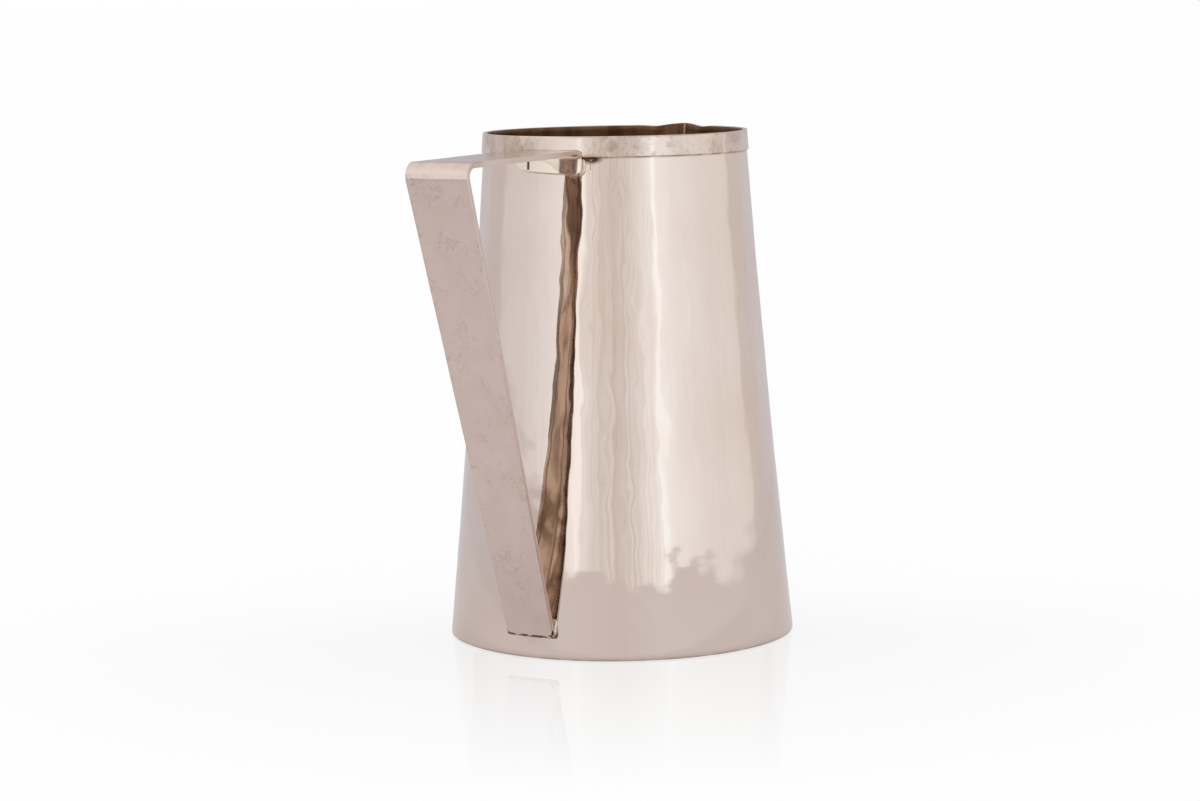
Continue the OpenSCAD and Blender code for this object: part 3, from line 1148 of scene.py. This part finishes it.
bpy.ops.mesh.primitive_cylinder_add(
    vertices=stage["sides"], radius=stage["tentRadius"], end_fill_type="NOTHING",
    depth=stage["tentHeight"] + stage["tentBelow"] + stage["tentAbove"],
    location=(0, 0, (stage["tentHeight"] + stage["tentAbove"] - stage["tentBelow"]) / 2),
)
tent = newPiece("tent")
tentMaterial, tree, lamp = startMaterial("tentLight", "Emission")
coords = objectCoords(tree)
around = aroundJug(tree, coords)
level = placeOf(tree, coords)["Z"]
glow = colorRamp(tree, around, tentLook["panels"])
# Streaks of the room behind the camera
across = times(tree, around, tentLook["streakCount"])
upward = times(tree, level, tentLook["streakRise"])
grain = addNode(tree, "CombineXYZ", {"X": across, "Y": upward}).outputs["Vector"]
streaks = noisePatch(tree, grain, **tentLook["streaks"])
inRoom = ranged(tree, apartFrom(tree, around, 0.5), **tentLook["room"])
streaked = addNode(tree, "VectorMath", {0: glow, 1: streaks}, operation="MULTIPLY").outputs["Vector"]
glow = mixedColor(tree, inRoom, glow, streaked)
border = times(tree, colorRamp(tree, around, tentLook["borders"]), tentLook["borderUnit"])
softness = ranged(tree, apartFrom(tree, around, tentLook["sharpTurn"]), **tentLook["softness"])
aboveBorder = combined(tree, "DIVIDE", combined(tree, "SUBTRACT", level, border), softness)
skirt = fading(tree, aboveBorder, -1, 1)
glow = mixedColor(tree, skirt, glow, colorRamp(tree, around, tentLook["skirt"]))
top = ranged(tree, level, **tentLook["topFade"])
glow = mixedColor(tree, top, glow, colorRamp(tree, around, tentLook["top"]))
tree.links.new(glow, lamp.inputs["Color"])
reflectionOnly(tent, tentMaterial)


# Round card that closes the tent above or below
def roundCard(name, z):
    bpy.ops.mesh.primitive_circle_add(
        vertices=stage["sides"], radius=stage["tentRadius"] + stage["cardOverhang"], fill_type="NGON",
        location=(0, 0, z),
    )
    return newPiece(name)


ceilingLook = {
    "patches": {"size": 0.6, "detail": 1, "low": 0.3, "high": 0.7, "toLow": 0.34, "toHigh": 0.44},
    "left": {"low": 0.02, "high": 0.2, "toHigh": 1.04},
    "front": {"low": -0.3, "high": -0.05, "most": 0.85},
}
ceiling = roundCard("ceiling", stage["tentHeight"] - stage["cardDrop"])
ceilingMaterial, tree, lamp = startMaterial("ceilingLight", "Emission")
coords = objectCoords(tree)
left = ranged(tree, placeOf(tree, coords)["Y"], **ceilingLook["left"])
front = fading(tree, depthBehind(tree, coords), **ceilingLook["front"])
patches = combined(tree, "MAXIMUM", noisePatch(tree, coords, **ceilingLook["patches"]), left)
tree.links.new(combined(tree, "MAXIMUM", patches, front), lamp.inputs["Strength"])
reflectionOnly(ceiling, ceilingMaterial)

# Floor that only reflections see, darker near the jug with a painted contact shadow
cardLook = {
    "near": (0.64, 0.61, 0.61, 1),
    "middle": (0.735, 0.71, 0.705, 1),
    "contactShadowFade": {"low": 0.068, "high": 0.17},
    "skirtFade": {"low": 0.36, "high": 0.5},
    "backFade": {"low": 0.2, "high": 0.42},
}
floorCard = roundCard("floorCard", -stage["cardDrop"])
cardMaterial, tree, lamp = startMaterial("floorCardLight", "Emission")
coords = objectCoords(tree)
reach = reachOf(tree, coords)
around = aroundJug(tree, coords)
# Painted contact shadow near the jug
glow = mixedColor(tree, ranged(tree, reach, **cardLook["contactShadowFade"]), cardLook["near"], cardLook["middle"])
back = ranged(tree, apartFrom(tree, around, 0.5), **cardLook["backFade"])
far = combined(tree, "MAXIMUM", ranged(tree, reach, **cardLook["skirtFade"]), back)
glow = mixedColor(tree, far, glow, colorRamp(tree, around, tentLook["skirt"]))
tree.links.new(glow, lamp.inputs["Color"])
reflectionOnly(floorCard, cardMaterial)

# White card behind the jug, lit on its underside only, which the floor mirrors around the jug
mirror = {
    "place": (0, 0.43, 0.09),
    "size": (1.3, 0.62, 1),
    "glow": 0.985,
}
bpy.ops.mesh.primitive_plane_add(
    size=1, location=Matrix.Rotation(stage["azimuth"], 3, "Z") @ Vector(mirror["place"]),
    rotation=(0, 0, stage["azimuth"]),
)
bpy.context.active_object.scale = mirror["size"]
mirrorCard = newPiece("mirrorCard")
mirrorMaterial, tree, lamp = startMaterial("mirrorCardLight", "Emission")
lamp.inputs["Strength"].default_value = mirror["glow"]
under = addNode(tree, "NewGeometry", {}).outputs["Backfacing"]
blendShaders(tree, under, addNode(tree, "BsdfTransparent", {}), lamp)
reflectionOnly(mirrorCard, mirrorMaterial)

floorLook = {
    "size": 1000,
    "color": (0.1, 0.1, 0.1, 1),
    "glow": 0.89,
    "mirrorRough": 0.02,
    "mirrorFade": {"low": 0.07, "high": 0.27, "most": 0.24},
    "mirrorBack": {"low": -0.02, "high": 0.1},
}
bpy.ops.mesh.primitive_plane_add(size=floorLook["size"])
floor = newPiece("floor")
floorMaterial, tree, shader = startMaterial("whiteFloor")
shader.inputs["Base Color"].default_value = floorLook["color"]
shader.inputs["Emission Strength"].default_value = floorLook["glow"]
shader.inputs["Roughness"].default_value = 1
shader.inputs["Specular IOR Level"].default_value = 0
coords = objectCoords(tree)
share = fading(tree, reachOf(tree, coords), **floorLook["mirrorFade"])
share = times(tree, share, fading(tree, depthBehind(tree, coords), **floorLook["mirrorBack"]))
blendShaders(tree, share, shader, addNode(tree, "BsdfGlossy", {"Roughness": floorLook["mirrorRough"]}))
floor.data.materials.append(floorMaterial)
floor.visible_glossy = False

world = bpy.data.worlds.new("whiteRoom")
bpy.context.scene.world = world
world.use_nodes = True
background = world.node_tree.nodes["Background"]
background.inputs["Color"].default_value = (1, 1, 1, 1)

# Distances in metres, angles in radians, lens and sensor in millimetres
camera = {
    "distance": 1.2814568,
    "height": 0.2527673,
    "yaw": -0.0059,
    "pitch": 0.1246,
    "roll": -0.0157,
    "lens": 96.743,
    "sensor": 36,
    "farthest": 100,
}
bpy.ops.object.camera_add()
photoCamera = bpy.context.active_object
photoCamera.name = "photoCamera"
photoCamera.data.sensor_width = camera["sensor"]
photoCamera.data.sensor_fit = "HORIZONTAL"
photoCamera.data.lens = camera["lens"]
photoCamera.data.clip_end = camera["farthest"]
ahead = Vector((
    math.sin(camera["yaw"]) * math.cos(camera["pitch"]),
    math.cos(camera["yaw"]) * math.cos(camera["pitch"]),
    -math.sin(camera["pitch"]),
))
levelRight = Vector((math.cos(camera["yaw"]), -math.sin(camera["yaw"]), 0))
levelUp = levelRight.cross(ahead)
right = levelRight * math.cos(camera["roll"]) + levelUp * math.sin(camera["roll"])
upright = levelUp * math.cos(camera["roll"]) - levelRight * math.sin(camera["roll"])
pose = Matrix((right, upright, -ahead)).transposed().to_4x4()
pose.translation = Vector((0, -camera["distance"], camera["height"]))
photoCamera.matrix_world = Matrix.Rotation(stage["azimuth"], 4, "Z") @ pose
bpy.context.scene.camera = photoCamera
bpy.context.scene.view_settings.view_transform = "Standard"
print("stage ready")
